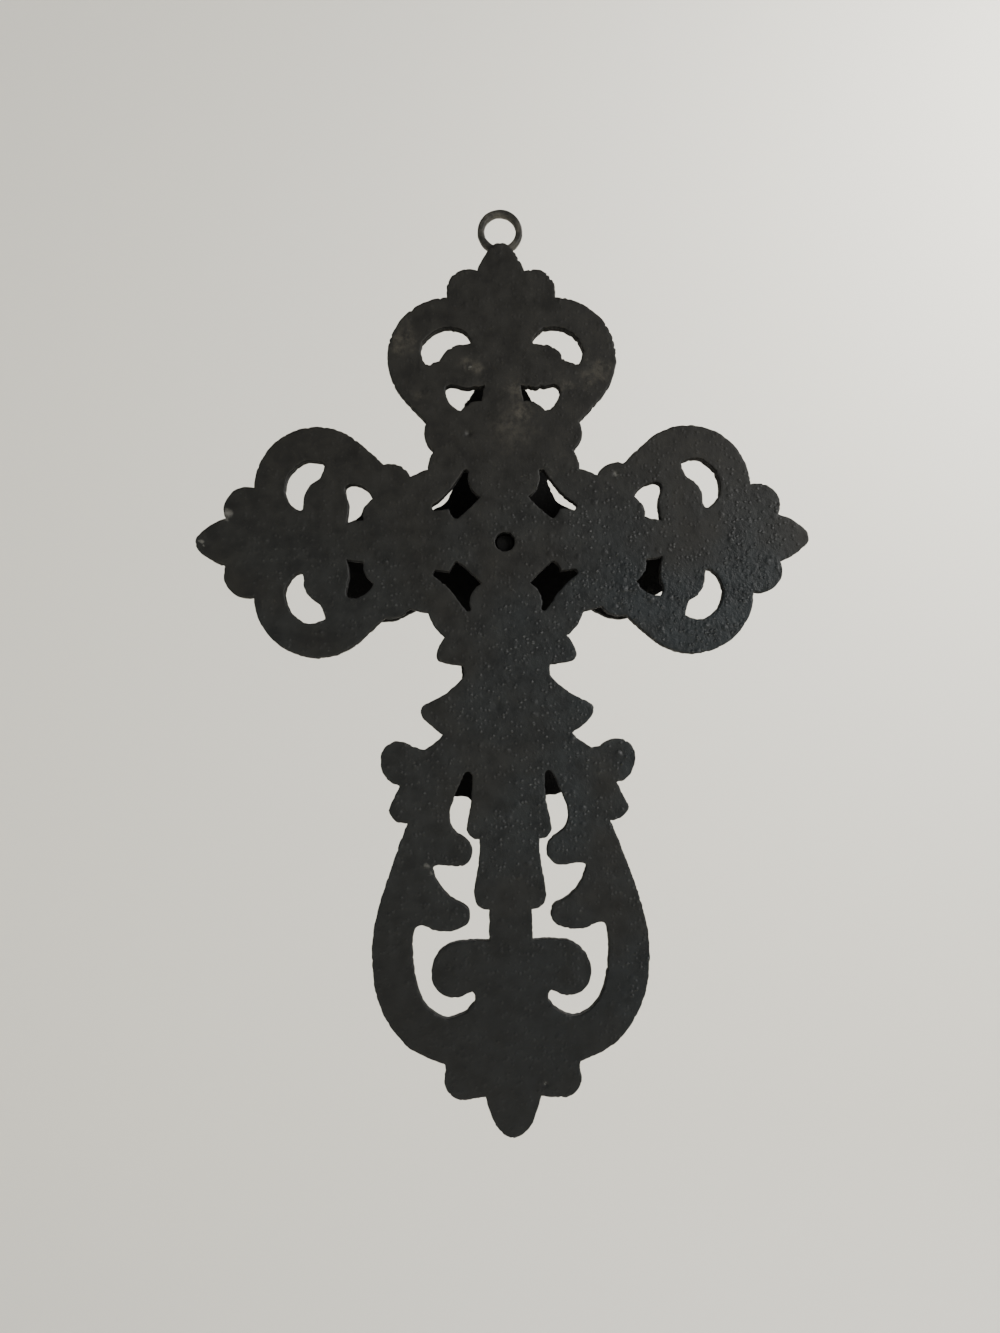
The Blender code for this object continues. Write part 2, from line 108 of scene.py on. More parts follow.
# Pits and dents of the flat back: x, z, radius and depth, in millimetres
PITS = (
    (9.0, -59.5, 0.7, 0.5),
    (2.7, -130.9, 1.1, 0.25),
    (71.6, -80.0, 0.9, 0.30),
    (-29.4, -70.6, 0.6, 0.25),
    (-8.2, -226.4, 0.7, 0.25),
    (27.0, -171.0, 0.5, 0.15),
)
# Rings of points about a pit: from, to and how many, in radii of the pit, and the points on a ring
MARK_RINGS = (0.3, 2.0, 6)
MARK_POINTS = 14

# Spacing of the points on the faces. Rows follow the rims at these depths, and are thinned to one point in a
# cell of a share of the rims' step, or of a share of the row's own depth where that is more.
BACK_SPACING = 1.5 * MM
BACK_ROWS = (0.1 * MM, 0.22 * MM, 0.4 * MM, 0.9 * MM)
FACE_SPACING = 0.66 * MM
FACE_ROWS = (0.08 * MM, 0.26 * MM, 0.55 * MM, 0.95 * MM, 1.45 * MM)
WALL_ROWS = 3
THINNING = 0.62
ROW_THINNING = 0.5
ROW_KEPT = 0.93
MERGE = 1e-6

# Carving of the faces
BEAD_DEPTH = 1.9 * MM
BEAD_HALF = 0.62 * MM
BEAD_RISE = 0.6 * MM
GROOVE_DEPTH = 3.1 * MM
GROOVE_HALF = 0.42 * MM
GROOVE_SINK = 0.5 * MM
PILLOW_RISE = 0.25 * MM
RIB_RADIUS = 1.5 * MM
RIB_SINK = 0.4 * MM
RIB_TAPER = 4.0 * MM
RIB_END = 0.72
TWIST_PITCH = 2.6 * MM
TWIST_SLANT = 0.45
TWIST_CUT = 0.44 * MM
TWIST_POWER = 3

# Ribs as drawn, in millimetres: distance from the crossing's middle, distance from the limb's middle line,
# and the bulge of the arc to the next point, which is its height over half its chord
ARM_SCROLL = ((36.0, 16.4, 0.60), (51.4, 26.2, 0.45), (60.4, 10.8, 0.25), (57.2, 7.4, 0.0))
ARM_MIDRIB = ((14.0, 0.0, 0.0), (76.0, 0.0, 0.0))
LIMB_MIDRIB = ((14.0, 0.0, 0.0), (146.0, 0.0, 0.0))
LIMB_BAND = ((70.0, 22.5, 0.05), (97.0, 28.8, 0.12), (115.5, 28.4, 0.20), (129.5, 15.5, 0.0))
FRONT_SCROLL = ((23.5, 7.4, 0.30), (33.4, 12.2, 0.80), (33.0, 6.4, 0.0))
FRONT_MIDRIB = ((10.0, 0.0, 0.0), (50.5, 0.0, 0.0))
FRONT_FOOT = ((47.5, 7.4, 0.25), (59.8, 13.8, 0.85), (58.6, 7.0, 0.0))
FRONT_LIMB_MIDRIB = ((10.0, 0.0, 0.0), (75.0, 0.0, 0.0))
ARC_STEP = 0.5

# Domes on the lower limb: distance below the crossing's middle, distance from the middle line, radius
LIMB_DOMES = ((56.6, 27.3, 4.2), (137.8, 11.2, 3.0))
DOME_SINK = 0.5 * MM
DOME_HEIGHT = 0.72

# Rosette on the front cross. But for a power, the values after its petals are shares of its radius or rise.
ROSETTE_RADIUS = 9.5 * MM
ROSETTE_RISE = 2.0 * MM
PETALS = 8
PETAL_EDGE = 0.8
PETAL_POWER = 0.8
PETAL_FLOOR = 0.18
PETAL_CHEEK = 0.6
PETAL_VALLEY = 0.1
VEIN_SINK = 0.16
VEIN_WIDTH = 0.02
VEIN_START = 0.36
BUTTON = 0.34

# Ring
RING_MIDDLE_Z = -4.15 * MM
RING_Y = -2.0 * MM
RING_RADIUS = 5.1 * MM
RING_HALF_WIDTH = 0.95 * MM
RING_HALF_DEPTH = 1.2 * MM
RING_SQUARENESS = 3.2
RING_STEPS = (150, 34)
RING_WANDER = 0.035 * MM
# Depth from the rims that is stored on the ring's points, so that the paint can tell them from the rest
RING_MARK = -1.0 * MM

# Boss and peg, from the flare down to the peg's end: radii and places along Y, then the turned mesh
FLARE_RADIUS = 9.1 * MM
BOSS_RADIUS = 6.5 * MM
BOSS_TOP = -17.4 * MM
SEAT = -4.8 * MM
PEG_RADIUS = 2.25 * MM
PEG_END = -2.4 * MM
BOSS_STEPS = 120
FLARE_ROWS = 8
BOSS_ROWS = 11
BOSS_SOFT = 0.35 * MM
CORNER_IN = 0.3
BOSS_WANDER = 0.05 * MM
BOSS_WAVES = 9 * MM

# Colours of the black paint and what lies on it
BROWN_BLACK = (0.0090, 0.0086, 0.0072)
# Blue-black is a painted sheen: the window's bluish reflection painted into the colour where the paint is
# clean
BLUE_SHEEN_BLACK = (0.0085, 0.0112, 0.0128)
DUST = (0.074, 0.067, 0.053)
PALE = (0.110, 0.108, 0.098)
BARE_EDGE = (0.045, 0.038, 0.030)
WORN_RING = (0.052, 0.049, 0.041)
# Grain tops: painted glints, partly pale worn paint
GRAIN_GLINT = (0.075, 0.080, 0.078)
# Painted shade: near black, put on the rims' edges and on the parts between the crosses
PAINTED_SHADE_BLACK = (0.004, 0.004, 0.004)

# Dusty smudges on the back: x, z and radius in millimetres, and strength
SMUDGES = (
    (27.0, -35.0, 5.5, 0.42),
    (25.0, -31.0, 3.5, 0.25),
    (8.5, -42.0, 3.8, 0.40),
    (-3.0, -48.0, 4.2, 0.40),
    (-5.5, -53.6, 4.2, 0.55),
    (-1.5, -58.2, 8.0, 0.28),
    (-25.5, -42.6, 4.2, 0.38),
    (-22.5, -45.0, 3.6, 0.32),
    (-16.0, -46.5, 3.0, 0.30),
    (22.3, -50.0, 3.4, 0.22),
)

# Bare or pale spots on the back: x, z and radius in millimetres, and strength
PALE_SPOTS = (
    (71.6, -80.2, 1.6, 0.85),
    (71.9, -81.8, 0.9, 0.45),
    (78.4, -87.5, 0.9, 0.7),
    (77.9, -88.6, 0.6, 0.7),
    (-29.4, -70.6, 1.0, 0.6),
    (8.4, -41.9, 0.7, 0.6),
    (-5.1, -47.8, 0.7, 0.6),
    (21.0, -171.6, 1.1, 0.5),
    (20.2, -173.4, 0.7, 0.5),
    (-8.2, -226.4, 0.6, 0.6),
)

# Paint: how many clouds or grains of each kind fit in a metre
BROAD_CLOUDS = 26.0
DRIFT_CLOUDS = 75.0
MOTTLE_CLOUDS = 190.0
DUST_CLOUDS = 420.0
COARSE_CLOUDS = 620.0
FINE_CLOUDS = 3200.0
GRANULES = 880.0
LARGER_GRAINS = 420.0

# Stirring of the patches' outlines: clouds in a metre, and how far they move a point
DUST_STIR = (230.0, 2.6 * MM)
PALE_STIR = (700.0, 0.55 * MM)

# Ranges of x and z over which the paint turns clean and takes a painted sheen, the share that x decides, and
# the foot's range and painted shade
CLEAN_AND_SHEEN_ACROSS = (0.045, -0.055)
CLEAN_AND_SHEEN_DOWN = (-0.060, -0.105)
CLEAN_AND_SHEEN_RIGHT = 0.65
FOOT = (-0.215, -0.150)
FOOT_SHADE = 0.62

# Depths from the rims, in millimetres, over which the paint takes the look of the ring, of an edge with its
# painted shade or of a worn edge, the clouds that the wear follows, and how strongly the edges are darkened
# as painted shade
RING_BAND = (-0.3, -0.8)
EDGE_BAND = (0.16, 0.0)
WORN_BAND = (0.34, 0.04)
WORN_CLOUDS = (0.52, 0.66)
RING_WEAR = (0.42, 0.66, 0.05, 0.95)
BARE_TINT = 0.25
EDGE_SHADE = 0.7

# Mottling: the part of the clouds' range that is used, and the shades and roughnesses that it is carried onto
MOTTLE_RANGE = (0.3, 0.7)
MOTTLE_SHADES = (0.7, 1.35)
MOTTLE_ROUGHNESS = (0.44, 0.60)
CLEAN_SHINE = 0.10
DUST_DULLNESS = 0.3
EDGE_DULLNESS = 0.95
SPECULAR = 0.25

# Crowding of the painted glints on the grain tops, and heights of the grains in the bump
GLINT_TOPS_CLEAN = 0.75
GLINT_TOPS_ANYWHERE = 0.06
GLINT_TOPS_OFF_DRIFTS = 0.2
GLINT_TOPS_TINT = 0.55
GRANULE_HEIGHT = 0.36
COARSE_HEIGHT = 0.42
LARGER_HEIGHT = 0.40
FINE_HEIGHT = 0.10
BUMP_ANYWHERE = 0.2
BUMP_CLEAN = 0.3
BUMP_ABOVE_FOOT = 0.5
BUMP_DISTANCE = 0.75 * MM

# Room: a floor that sweeps up into a backdrop
FLOOR_Z = -0.9
BACKDROP_Y = -0.9
SWEEP_RADIUS = 0.35
ROOM_HALF = 6.0
ROOM_DEPTH = 7.0
SWEEP_STEPS = 25
PAPER = (0.86, 0.84, 0.77)
PAPER_ROUGHNESS = 0.9

# Lights: name, place, target, side, watts and colour of each lamp, then the values of the air and the sun
MIDDLE = (0.0, 0.0, -0.12)
LAMPS = (
    ("window", (-0.85, 0.80, 0.22), MIDDLE, 0.5, 13.8, (1.0, 0.985, 0.96)),
    ("window_bounce", (0.8, 0.7, -0.1), MIDDLE, 1.0, 0.7, (0.95, 0.97, 1.0)),
    ("backdrop_light", (-1.0, -0.30, 0.70), (-0.35, BACKDROP_Y, -0.05), 0.6, 19.0, (1.0, 0.985, 0.95)),
)
AIR_COLOUR = (0.80, 0.80, 0.79, 1.0)
AIR_STRENGTH = 0.50
SUN_STRENGTH = 3.3
SUN_WIDTH = math.radians(10)
SUN_WAY = (0.6, 0.62, -0.75)
CLOSEST_SEEN = 0.01
FARTHEST_SEEN = 50.0


def waves(x, z, lengths, seed):
    """Smooth random field over x and z, mostly between -1 and 1.

    Sum of plane waves, cos(2 pi (x cos a + z sin a) / length + phase), of random direction a and phase,
    divided by the square root of twice their number.
    """
    draw = np.random.default_rng(seed)
    field = np.zeros_like(x)
    for length in lengths:
        angle = draw.uniform(0.0, 2 * np.pi, WAVES)
        phase = draw.uniform(0.0, 2 * np.pi, WAVES)
        number = 2 * np.pi / (length * draw.uniform(*WAVE_SPREAD, WAVES))
        across = np.outer(x, np.cos(angle)) + np.outer(z, np.sin(angle))
        field += np.cos(across * number + phase).sum(axis=1)
    return field / math.sqrt(WAVES * len(lengths) * 2)


def plane_loops(node, plane):
    """Closed outlines, as x and z, of the faces of a frame node that lie in the plane y = plane.

    A rim edge belongs to one such face only. The material is on the right of travel as x points right.
    """
    surface = bmesh.new()
    surface.from_mesh(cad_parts[node].data)
    bmesh.ops.remove_doubles(surface, verts=surface.verts, dist=WELD)
    sides = set()
    for face in surface.faces:
        if all(abs(vertex.co.y - plane) < IN_PLANE for vertex in face.verts):
            ring = [vertex.index for vertex in face.verts]
            sides.update(zip(ring, ring[1:] + ring[:1]))
    following = {start: end for start, end in sides if (end, start) not in sides}
    surface.verts.ensure_lookup_table()
    loops = []
    while following:
        start, here = min(following.items())
        del following[start]
        loop = [start]
        while here != start:
            loop.append(here)
            here = following.pop(here)
        loops.append(np.array([(surface.verts[i].co.x, surface.verts[i].co.z) for i in loop]))
    surface.free()
    return loops


def smoothed(loop, step):
    """Smooth closed curve through an outline's points, with its sharp notches kept.

    Each side becomes a cubic whose end slopes are those of the circle through three neighbouring points. At a
    sharp turn the slope mirrors that of the side's other end. No slope is more than STEEPEST, or than an arc
    of ARC_HEIGHT has.
    """
    side = np.roll(loop, -1, axis=0) - loop
    length = np.linalg.norm(side, axis=1)
    heading = np.arctan2(side[:, 1], side[:, 0])
    turn = (heading - np.roll(heading, 1) + np.pi) % (2 * np.pi) - np.pi
    before = np.roll(length, 1)
    leave = -turn * length / (before + length)
    arrive = np.roll(turn * before / (before + length), -1)
    sharp = np.abs(turn) > SHARP_TURN
    sharp_end = np.roll(sharp, -1)
    leave_kept = np.where(sharp, np.where(sharp_end, 0.0, -arrive), leave)
    arrive_kept = np.where(sharp_end, np.where(sharp, 0.0, -leave), arrive)
    most = np.minimum(2 * np.arctan(2 * ARC_HEIGHT / length), STEEPEST)
    slope_out = np.tan(np.clip(leave_kept, -most, most))
    slope_in = np.tan(np.clip(arrive_kept, -most, most))
    count = np.ceil(length / step).astype(int)
    owner = np.repeat(np.arange(len(loop)), count)
    first = np.cumsum(count) - count
    t = (np.arange(count.sum()) - first[owner]) / count[owner]
    aside = slope_out[owner] * (t - 2 * t ** 2 + t ** 3) + slope_in[owner] * (t ** 3 - t ** 2)
    left = np.column_stack((-side[:, 1], side[:, 0]))
    return loop[owner] + side[owner] * t[:, None] + left[owner] * aside[:, None]


def inward(loop):
    """Unit vectors from a loop's points into the material, at right angles to the loop."""
    along = np.roll(loop, -1, axis=0) - np.roll(loop, 1, axis=0)
    across = np.column_stack((along[:, 1], -along[:, 0]))
    return across / np.linalg.norm(across, axis=1)[:, None]


def cast_rim(loop, seed):
    """Outline with the small waviness of a sand casting: each point moves in or out by a random field.

    Where a second field is high it cuts nicks, deeper on the upper lobes, which have been knocked most.
    """
    smooth = smoothed(loop, RIM_STEP)
    x, z = smooth.T
    shift = waves(x, z, RIM_LENGTHS, seed) * RIM_WANDER
    upper = np.clip((z - NICKED_ABOVE[0]) / (NICKED_ABOVE[1] - NICKED_ABOVE[0]), NICKS_ELSEWHERE, 1.0)
    shift += NICK_DEPTH * upper * np.clip(waves(x, z, NICK_LENGTHS, seed + 1) - NICK_START, 0.0, 1.0)
    return smooth + inward(smooth) * shift[:, None]


def rim_sides(rims):
    """Starts and ends of all the straight pieces of several closed loops."""
    return np.concatenate(rims), np.concatenate([np.roll(rim, -1, axis=0) for rim in rims])


def distance_to(points, starts, ends):
    """Distance of each point from the nearest of the straight pieces, at most REACH.

    The points are taken cell by cell, and only the pieces near a cell are measured.
    """
    result = np.full(len(points), REACH)
    cells = np.floor(points / CELL).astype(int)
    keys, member = np.unique(cells, axis=0, return_inverse=True)
    order = np.argsort(member.ravel(), kind="stable")
    groups = np.split(order, np.cumsum(np.bincount(member.ravel()))[:-1])
    middles = (starts + ends) / 2
    for key, group in zip(keys, groups):
        gap = np.abs(middles - (key + 0.5) * CELL).max(axis=1)
        near = np.flatnonzero(gap < CELL / 2 + REACH + RIM_STEP)
        if len(near) == 0:
            continue
        side = ends[near] - starts[near]
        offset = points[group][:, None, :] - starts[near][None, :, :]
        share = np.clip((offset * side).sum(axis=2) / (side ** 2).sum(axis=1), 0.0, 1.0)
        gap = np.linalg.norm(offset - share[:, :, None] * side, axis=2).min(axis=1)
        result[group] = np.minimum(gap, REACH)
    return result


def thinned(points, cell):
    """Points of which at most one is kept in each square cell."""
    keys = np.round(points / cell).astype(int)
    kept = np.unique(keys, axis=0, return_index=True)[1]
    return points[np.sort(kept)]


def grid_inside(starts, ends, spacing):
    """Points of a triangular grid that lie inside the rims, row by row, by counting crossings to the left."""
    low, high = starts.min(axis=0), starts.max(axis=0)
    rise = spacing * math.sqrt(3) / 2
    rows = []
    for number, z in enumerate(np.arange(low[1], high[1], rise)):
        x = np.arange(low[0], high[0], spacing) + spacing / 2 * (number % 2)
        crossed = (starts[:, 1] > z) != (ends[:, 1] > z)
        a, b = starts[crossed], ends[crossed]
        crossings = np.sort(a[:, 0] + (z - a[:, 1]) / (b[:, 1] - a[:, 1]) * (b[:, 0] - a[:, 0]))
        inside = x[np.searchsorted(crossings, x) % 2 == 1]
        rows.append(np.column_stack((inside, np.full(len(inside), z))))
    return np.concatenate(rows)


def filled(rims, spacing, depths, extra=()):
    """Points and triangles that fill the rims. The rims' own points come first, in their order.

    Rows of points follow the rims at the given depths, a triangular grid fills the rest, and extra points lie
    close together where a small mark needs them.
    """
    starts, ends = rim_sides(rims)
    normals = np.concatenate([inward(rim) for rim in rims])
    points = [starts]
    for depth in depths:
        row = starts + normals * depth
        row = row[distance_to(row, starts, ends) > ROW_KEPT * depth]
        points.append(thinned(row, max(THINNING * RIM_STEP, ROW_THINNING * depth)))
    grid = grid_inside(starts, ends, spacing)
    points.append(grid[distance_to(grid, starts, ends) > depths[-1] + spacing / 2])
    for near in extra:
        kept = is_inside(near, starts, ends) & (distance_to(near, starts, ends) > RIM_STEP)
        points.append(near[kept])
    points = np.concatenate(points)
    first = 0
    edges = []
    for rim in rims:
        ring = np.arange(first, first + len(rim))
        edges += np.column_stack((ring, np.roll(ring, -1))).tolist()
        first += len(rim)
    flat = [Vector(point) for point in (points / MM).tolist()]
    result = delaunay_2d_cdt(flat, edges, [], 0, MERGE)
    if len(result[0]) != len(points):
        raise ValueError(f"the outline crosses itself: {len(points)} points became {len(result[0])}")
    triangles = np.array(result[2])
    on_rims = np.flatnonzero((triangles < len(starts)).all(axis=1))
    middles = points[triangles[on_rims]].mean(axis=1)
    kept = np.ones(len(triangles), bool)
    kept[on_rims] = is_inside(middles, starts, ends)
    return points, triangles[kept]


def is_inside(points, starts, ends):
    """True for a point inside the rims: on its left they cross its level an odd number of times."""
    x, z = points[:, :1], points[:, 1:]
    level = (starts[:, 1] > z) != (ends[:, 1] > z)
    rise = np.where(ends[:, 1] == starts[:, 1], 1.0, ends[:, 1] - starts[:, 1])
    at = starts[:, 0] + (z - starts[:, 1]) / rise * (ends[:, 0] - starts[:, 0])
    return (level & (at < x)).sum(axis=1) % 2 == 1


def arc_path(table):
    """Points in metres along a drawing's arcs: each chord is bent into the arc of its bulge.

    On an arc of sweep s, the point at share t lies at the angle (2 t - 1) s / 2 from the arc's middle.
    """
    path = []
    for (u, v, bulge), (next_u, next_v, _) in zip(table, table[1:]):
        chord = complex(next_u - u, next_v - v)
        t = np.linspace(0.0, 1.0, max(3, int(abs(chord) / ARC_STEP)), endpoint=False)
        if bulge == 0.0:
            path.append(complex(u, v) + chord * t)
            continue
        sweep = 4 * math.atan(bulge)
        angle = (2 * t - 1) * sweep / 2
        radius = 1 / (2 * math.sin(sweep / 2))
        lift = radius * (np.cos(angle) - math.cos(sweep / 2))
        path.append(complex(u, v) + chord * (0.5 + radius * np.sin(angle) + 1j * lift))
    path.append(np.array([complex(*table[-1][:2])]))
    points = np.concatenate(path) * MM
    return np.column_stack((points.real, points.imag))


def placed(path, way, side, centre_z):
    """Path drawn along a limb, run up, down, right or left. Side -1 mirrors it in the middle line."""
    u, v = path[:, 0], path[:, 1] * side
    if way == "up":
        return np.column_stack((v, centre_z + u))
    if way == "down":
        return np.column_stack((v, centre_z - u))
    reach = u if way == "right" else -u
    return np.column_stack((reach, centre_z + v))


def four_ways(arm_tables, limb_tables, centre_z):
    """Ribs of a cross: an arm's up, right and left, the lower limb's down, on both sides of its middle."""
    made = []
    for way in ("up", "right", "left", "down"):
        for table in (limb_tables if way == "down" else arm_tables):
            path = arc_path(table)
            sides = (1,) if np.allclose(path[:, 1], 0.0) else (1, -1)
            made += [placed(path, way, side, centre_z) for side in sides]
    return made


def rib_height(points, path, radius, twisted):
    """Height over the face of a half-round rib along a path, far below zero away from it.

    A rib is a round bar whose middle line lies RIB_SINK inside the face: at a distance d from that line the
    height is the root of r^2 - d^2, less the sink. Its radius narrows towards both ends, and slanting cuts,
    a power of a raised cosine of the way along, make a twisted bar of it.
    """
    height = np.full(len(points), -REACH)
    low, high = path.min(axis=0) - 2 * radius, path.max(axis=0) + 2 * radius
    near = np.flatnonzero(((points > low) & (points < high)).all(axis=1))
    side = path[1:] - path[:-1]
    length = np.linalg.norm(side, axis=1)
    offset = points[near][:, None, :] - path[:-1][None, :, :]
    share = np.clip((offset * side).sum(axis=2) / (side ** 2).sum(axis=1), 0.0, 1.0)
    gaps = np.linalg.norm(offset - share[:, :, None] * side, axis=2)
    best = gaps.argmin(axis=1)
    rows = np.arange(len(near))
    gap = gaps[rows, best]
    run = np.concatenate(([0.0], np.cumsum(length)))
    along = run[best] + share[rows, best] * length[best]
    cross = side[best, 0] * offset[rows, best, 1] - side[best, 1] * offset[rows, best, 0]
    to_end = np.minimum(along, run[-1] - along)
    thick = radius * (RIB_END + (1 - RIB_END) * np.clip(to_end / RIB_TAPER, 0.0, 1.0))
    round_bar = np.sqrt(np.maximum(thick ** 2 - gap ** 2, 0.0)) - RIB_SINK
    if twisted:
        phase = along / TWIST_PITCH + TWIST_SLANT * np.sign(cross) * gap / radius
        round_bar -= TWIST_CUT * (0.5 - 0.5 * np.cos(2 * np.pi * phase)) ** TWIST_POWER
    height[near] = np.where(gap < thick, round_bar, -REACH)
    return height


def rounded(depth, radius):
    """How far a rounded rim lies below its face at a depth from the outline: a quarter circle."""
    inside = np.clip(1 - depth / radius, 0.0, 1.0)
    return radius * (1 - np.sqrt(1 - inside ** 2))


def hump(value, middle, half):
    """Smooth hump of height 1: exp(-((value - middle) / half)^2)."""
    return np.exp(-((value - middle) / half) ** 2)


def carved(points, depth, ribs, rounding, seed):
    """Height of a carved face over its plane: rounded rim, bead, groove and pillow, then ribs on top."""
    x, z = points.T
    ground = -rounded(depth, rounding)
    ground += BEAD_RISE * hump(depth, BEAD_DEPTH, BEAD_HALF)
    ground -= GROOVE_SINK * hump(depth, GROOVE_DEPTH, GROOVE_HALF)
    ground += PILLOW_RISE * (1 - hump(depth, 0.0, GROOVE_DEPTH))
    ground += FACE_GRAIN * waves(x, z, FACE_GRAIN_LENGTHS, seed)
    top = ground
    for path, twisted in ribs:
        top = np.maximum(top, rib_height(points, path, RIB_RADIUS, twisted))
    return top


def dome(points, middle, radius):
    """Height of a low dome: its rise times one less the square of the distance from its middle over r."""
    gap = np.hypot(points[:, 0] - middle[0], points[:, 1] - middle[1]) / radius
    return np.where(gap < 1, radius * DOME_HEIGHT * (1 - gap ** 2) - DOME_SINK, -REACH)


def rosette(points, middle):
    """Height of a flower of round petals with a button in its middle, about a point of the face.

    With c = |cos(n a / 2)|, a petal's edge lies at r = R (e + (1 - e) c). At the share t of the way out to it
    the height is floor + cheek sin(pi t^p) (valley + (1 - valley) c^p), less the vein, a narrow groove.
    """
    x, z = points[:, 0] - middle[0], points[:, 1] - middle[1]
    r, a = np.hypot(x, z) / ROSETTE_RADIUS, np.arctan2(x, z)
    lobe = np.abs(np.cos(PETALS * a / 2))
    edge = PETAL_EDGE + (1 - PETAL_EDGE) * lobe
    t = np.clip(r / edge, 0.0, 1.0)
    cheek = PETAL_VALLEY + (1 - PETAL_VALLEY) * lobe ** PETAL_POWER
    petal = PETAL_FLOOR + PETAL_CHEEK * np.sin(np.pi * t ** PETAL_POWER) * cheek
    vein = VEIN_SINK * hump(lobe, 1.0, VEIN_WIDTH) * (t > VEIN_START)
    button = np.sqrt(np.maximum(0.0, 1 - (r / BUTTON) ** 2))
    flower = ROSETTE_RISE * np.maximum(petal - vein, button)
    return np.where(r < edge, flower, -REACH)


def mark_points(x, z, radius):
    """Points for a small pit: its middle and rings of points about it, each ring turned on from the last."""
    rings = np.linspace(*MARK_RINGS)[:, None] * radius
    angle = np.linspace(0.0, 2 * np.pi, MARK_POINTS, endpoint=False)[None, :] + rings / radius
    across = np.column_stack(((x + rings * np.cos(angle)).ravel(), (z + rings * np.sin(angle)).ravel()))
    return np.concatenate((across, [(x, z)]))


def flat_back(points, depth, plane, seed):
    """Depth in Y of the sand-cast back: a plane with long low waves, a fine grain and softened arrises."""
    x, z = points.T
    soft = ARRIS_DROP * hump(depth, 0.0, ARRIS)
    long_wave = BACK_WAVE * (waves(x, z, BACK_LENGTHS, seed) - 1)
    grain = BACK_GRAIN * waves(x, z, BACK_GRAIN_LENGTHS, seed + 1)
    return plane - soft + long_wave + grain


def sheet(points, height):
    """Points in the frame's X, Y and Z, from points of a face as x and z and their places along Y."""
    return np.column_stack((points[:, 0], height, points[:, 1]))


def wall_between(rims, back_first, front_first, rows, total):
    """Triangles of the walls that join the back sheet's rims, row by row, to the front sheet's rims.

    The rows between lie one after the other from the vertex number total.
    """
    rim_count = sum(len(rim) for rim in rims)
    firsts = np.cumsum([0] + [len(rim) for rim in rims[:-1]])
    following = np.concatenate([np.roll(np.arange(len(rim)), -1) + first for rim, first in zip(rims, firsts)])
    here = np.arange(rim_count)
    starts = [back_first] + [total + rim_count * row for row in range(rows)] + [front_first]
    triangles = []
    for upper, lower in zip(starts, starts[1:]):
        a, b = upper + here, upper + following
        c, d = lower + following, lower + here
        triangles += [np.column_stack((a, b, c)), np.column_stack((a, c, d))]
    return np.concatenate(triangles)


def wall_rows(rims, back_y, front_y, rows, seed):
    """Rows of points down the walls, each moved in or out a little, as a sand mould leaves them."""
    rim = np.concatenate(rims)
    normals = np.concatenate([inward(loop) for loop in rims])
    made = []
    for row in range(1, rows + 1):
        y = back_y + (front_y - back_y) * row / (rows + 1)
        shift = WALL_WANDER * waves(rim[:, 0], rim[:, 1], RIM_LENGTHS, seed + row)
        moved = rim + normals * shift[:, None]
        made.append(sheet(moved, y))
    return np.concatenate(made)


def as_piece(name, points, triangles, edge_depth, gap_shade):
    """Mesh object of closed shells of triangles that point outward.

    Two values are stored with each point: its depth from the rims in millimetres, and 1 where it lies between
    the crosses, where the paint is darkened as painted shade.
    """
    mesh = bpy.data.meshes.new(name)
    mesh.vertices.add(len(points))
    mesh.vertices.foreach_set("co", points.astype(np.float32).ravel())
    mesh.loops.add(triangles.size)
    mesh.loops.foreach_set("vertex_index", triangles.astype(np.int32).ravel())
    mesh.polygons.add(len(triangles))
    mesh.polygons.foreach_set("loop_start", np.arange(0, triangles.size, 3, dtype=np.int32))
    mesh.update(calc_edges=True)
    mesh.validate()
    mesh.shade_smooth()
    for label, values in (("rim_depth", edge_depth / MM), ("gap_shade", gap_shade)):
        layer = mesh.attributes.new(label, "FLOAT", "POINT")
        layer.data.foreach_set("value", values.astype(np.float32))
    piece = bpy.data.objects.new(name, mesh)
    bpy.context.scene.collection.objects.link(piece)
    return piece


def ring_shell():
    """Closed tube of a flattened square section bent into a ring.

    Section: the superellipse |p|^n + |q|^n = 1 with half width and half depth. Its points lie at the angle s,
    and the tube's middle line at the angle a about the ring's middle.
    """
    around, about = RING_STEPS
    a = np.linspace(0.0, 2 * np.pi, around, endpoint=False)[:, None]
    s = np.linspace(0.0, 2 * np.pi, about, endpoint=False)[None, :]
    power = 2 / RING_SQUARENESS
    p = np.sign(np.cos(s)) * np.abs(np.cos(s)) ** power
    q = np.sign(np.sin(s)) * np.abs(np.sin(s)) ** power
    middle_line = RING_RADIUS * np.column_stack((np.sin(a), np.cos(a)))
    wander = waves(*middle_line.T, RIM_LENGTHS, RING_SEED)[:, None]
    r = RING_RADIUS + (RING_HALF_WIDTH + RING_WANDER * wander) * p
    x = r * np.sin(a)
    z = RING_MIDDLE_Z + r * np.cos(a)
    y = np.broadcast_to(RING_Y + RING_HALF_DEPTH * q, r.shape)
    points = np.column_stack((x.ravel(), y.ravel(), z.ravel()))
    cell = np.arange(around * about).reshape(around, about)
    right, up = np.roll(cell, -1, axis=0), np.roll(cell, -1, axis=1)
    corner = np.roll(right, -1, axis=1)
    triangles = np.concatenate((
        np.column_stack((cell.ravel(), right.ravel(), corner.ravel())),
        np.column_stack((cell.ravel(), corner.ravel(), up.ravel()))))
    return points, triangles


